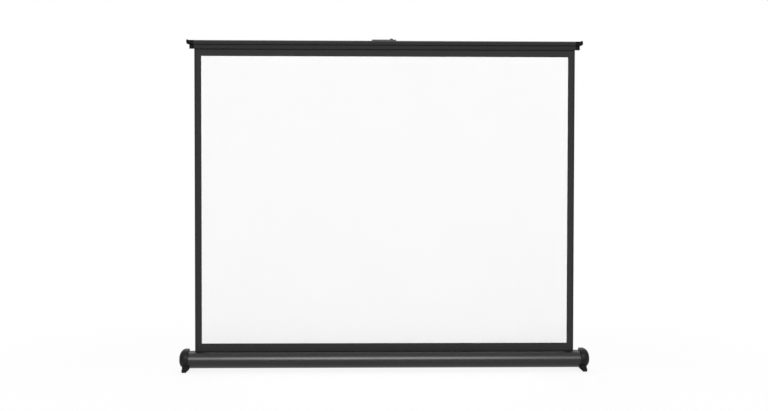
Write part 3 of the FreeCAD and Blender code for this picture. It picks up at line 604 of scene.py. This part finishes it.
def paint_frame():
    """Finishes of every CAD node."""
    case_coat = coated_extrusion("charcoal_case_coat", dark=0.002, light=0.004, roughness=0.35, gloss=0.48)
    paint(["case_extrusion"], case_coat)
    bar_coat = coated_extrusion(
        "charcoal_bar_coat",
        dark=0.016,
        light=0.02,
        roughness=0.5,
        gloss=0.12,
        rubbed_above=bar_top - bar_rubbed_edge,
    )
    paint(["top_bar"], bar_coat)

    cap = moulded_plastic("black_cap_moulding", dark=0.006, light=0.01, roughness=0.45, gloss=0.16)
    paint(["left_end_cap", "right_end_cap"], cap)
    # The bar ends use the same black moulding as the end caps and feet, made about half as bright there:
    # painted shade.
    shaded_bar_end = moulded_plastic("black_bar_end_moulding", dark=0.003, light=0.006, roughness=0.5, gloss=0.06)
    paint(["left_bar_cap", "right_bar_cap"], shaded_bar_end)
    foot = moulded_plastic("black_foot_moulding", dark=0.006, light=0.01, roughness=0.5, gloss=0.14)
    paint(["left_foot", "right_foot"], foot)

    lower_arm = ["lower_arm_front_side", "lower_arm_back_side", "lower_arm_spine"]
    arm_paint = painted_steel("black_arm_paint", dark=0.016, light=0.022, roughness=0.38)
    paint(lower_arm + ["upper_arm", "base_bracket"], arm_paint)
    hanger_paint = painted_steel("charcoal_hanger_paint", dark=0.026, light=0.034, roughness=0.45)
    paint(["top_hanger"], hanger_paint)

    pins = ["base_pivot_pin", "knee_pin", "top_pivot_pin", "top_pivot_spacer", "foot_pivot_screws"]
    bushes = ["lower_arm_bush", "upper_arm_bushes"]
    zinc = bare_metal("zinc_plate", dark=0.5, light=0.66, roughness=0.34, stretch=(900.0, 900.0, 900.0))
    paint(pins + bushes + ["spring_arbor"], zinc)
    screws = ["end_cap_screws", "base_bracket_screws", "hanger_screws"]
    black_oxide = bare_metal(
        "blackened_screw", dark=0.05, light=0.08, roughness=0.42, stretch=(1200.0, 1200.0, 1200.0)
    )
    paint(screws, black_oxide)
    wire = bare_metal("spring_wire", dark=0.25, light=0.36, roughness=0.36, stretch=(700.0, 700.0, 700.0))
    paint(["torsion_spring"], wire)
    drawn_tube = bare_metal(
        "mill_aluminium", dark=0.62, light=0.72, roughness=0.4, stretch=(3.0, 500.0, 500.0)
    )
    paint(["roller_tube"], drawn_tube)

    washers = ["base_pivot_washers", "knee_washers", "top_pivot_washers"]
    roller_ends = ["roller_bush", "arbor_collar", "roller_idler_plug", "roller_spring_plug"]
    nylon = soft_plastic("natural_nylon", dark=0.62, light=0.72, roughness=0.45, warmth=0.03)
    paint(washers + roller_ends + ["roller_spline", "top_spline"], nylon)
    black_nylon = soft_plastic("black_nylon", dark=0.012, light=0.018, roughness=0.45, warmth=0.0)
    paint(["foot_washers"], black_nylon)
    rubber = soft_plastic("pad_rubber", dark=0.012, light=0.02, roughness=0.75, warmth=0.0)
    paint(["left_foot_pads", "right_foot_pads"], rubber)


def make_camera():
    """Camera at the photograph's place."""
    data = bpy.data.cameras.new("photo_camera")
    data.sensor_fit = "HORIZONTAL"
    data.sensor_width = sensor_width
    data.lens = camera_focal_pixels / picture_pixels_wide * sensor_width
    data.clip_end = camera_sight
    camera = bpy.data.objects.new("photo_camera", data)
    turn = Matrix.Rotation(math.radians(-camera_yaw), 4, "Z")
    turn = turn @ Matrix.Rotation(math.radians(90 + camera_pitch), 4, "X")
    turn = turn @ Matrix.Rotation(math.radians(camera_roll), 4, "Z")
    camera.matrix_world = Matrix.Translation(camera_place) @ turn
    bpy.context.scene.collection.objects.link(camera)
    bpy.context.scene.camera = camera


def make_light(name, place, aim, width, height, power):
    """Soft rectangular light aimed at a point."""
    data = bpy.data.lights.new(name, "AREA")
    data.shape = "RECTANGLE"
    data.size = width
    data.size_y = height
    data.energy = power
    light = bpy.data.objects.new(name, data)
    turn = (Vector(place) - Vector(aim)).to_track_quat("Z", "Y")
    light.matrix_world = Matrix.Translation(place) @ turn.to_matrix().to_4x4()
    bpy.context.scene.collection.objects.link(light)


def make_room():
    """White backdrop for the camera and in reflections, even grey light for everything else."""
    world = bpy.data.worlds.new("studio")
    room = Shading(world)
    direction = room.add("ShaderNodeTexCoord", output="Generated")
    behind = room.add("ShaderNodeSeparateXYZ", {}, {"Vector": direction}, "Y") > 0.0
    above = room.add("ShaderNodeSeparateXYZ", {}, {"Vector": direction}, "Z") > ceiling_from
    reflected = room.ray_is("Glossy") * behind.larger(above)
    seen = room.ray_is("Camera").larger(room.ray_is("Transmission")).larger(reflected)
    light = room.add("ShaderNodeBackground", {}, {"Color": grey(1.0), "Strength": room_strength})
    white = room.add("ShaderNodeBackground", {}, {"Color": grey(1.0), "Strength": 1.0})
    mixed = room.add("ShaderNodeMixShader", {}, {0: seen, 1: light, 2: white})
    room.add("ShaderNodeOutputWorld", {}, {"Surface": mixed})
    bpy.context.scene.world = world


def floor_finish():
    """Pale floor that keeps the shadow close to the part and is otherwise white, also in reflections."""
    material = bpy.data.materials.new("pale_floor")
    floor = Shading(material)
    spot = floor.add("ShaderNodeTexCoord", output="Object")
    distance = floor.add("ShaderNodeVectorMath", {"operation": "LENGTH"}, {0: spot}, "Value")
    limits = {
        "Value": distance,
        "From Min": floor_near,
        "From Max": floor_far,
        "To Min": floor_white_near,
        "To Max": 1.0,
    }
    whiteness = floor.add("ShaderNodeMapRange", {"interpolation_type": "SMOOTHSTEP"}, limits)
    seen = floor.ray_is("Camera").larger(floor.ray_is("Transmission")).larger(floor.ray_is("Glossy"))
    matte = floor.add("ShaderNodeBsdfDiffuse", {}, {"Color": grey(floor_pale)})
    lift = floor.add("ShaderNodeEmission", {}, {"Color": grey(1.0), "Strength": floor_lift})
    lifted = floor.add("ShaderNodeAddShader", {}, {0: matte, 1: lift})
    white = floor.add("ShaderNodeEmission", {}, {"Color": grey(1.0), "Strength": 1.0})
    pictured = floor.add("ShaderNodeMixShader", {}, {0: whiteness, 1: lifted, 2: white})
    mixed = floor.add("ShaderNodeMixShader", {}, {0: seen, 1: matte, 2: pictured})
    floor.add("ShaderNodeOutputMaterial", {}, {"Surface": mixed})
    return material


def make_floor():
    """Flat floor under the part."""
    half = floor_size / 2
    mesh = bpy.data.meshes.new("floor")
    corners = [(-half, -half, 0.0), (half, -half, 0.0), (half, half, 0.0), (-half, half, 0.0)]
    mesh.from_pydata(corners, [], [(0, 1, 2, 3)])
    mesh.materials.append(floor_finish())
    floor = bpy.data.objects.new("floor", mesh)
    bpy.context.scene.collection.objects.link(floor)


paint_frame()

face = cloth_face()
backing = cloth_back()
cloth = make_screen_cloth([face, backing])
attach(cloth, "case")
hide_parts("screen_fabric")
folded_share = (cloth_reach() - bar_travel()) / cloth_reach()
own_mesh(cloth)

hem = make_hem([face, backing])
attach(hem, "top_bar")
cloth_length()

rolled = make_rolled_cloth(backing)
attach(rolled, "roller")
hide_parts("fabric_wraps")

make_camera()
for light_name, light_values in lights.items():
    make_light(light_name, *light_values)
make_room()
make_floor()
bpy.context.scene.view_settings.view_transform = "Standard"
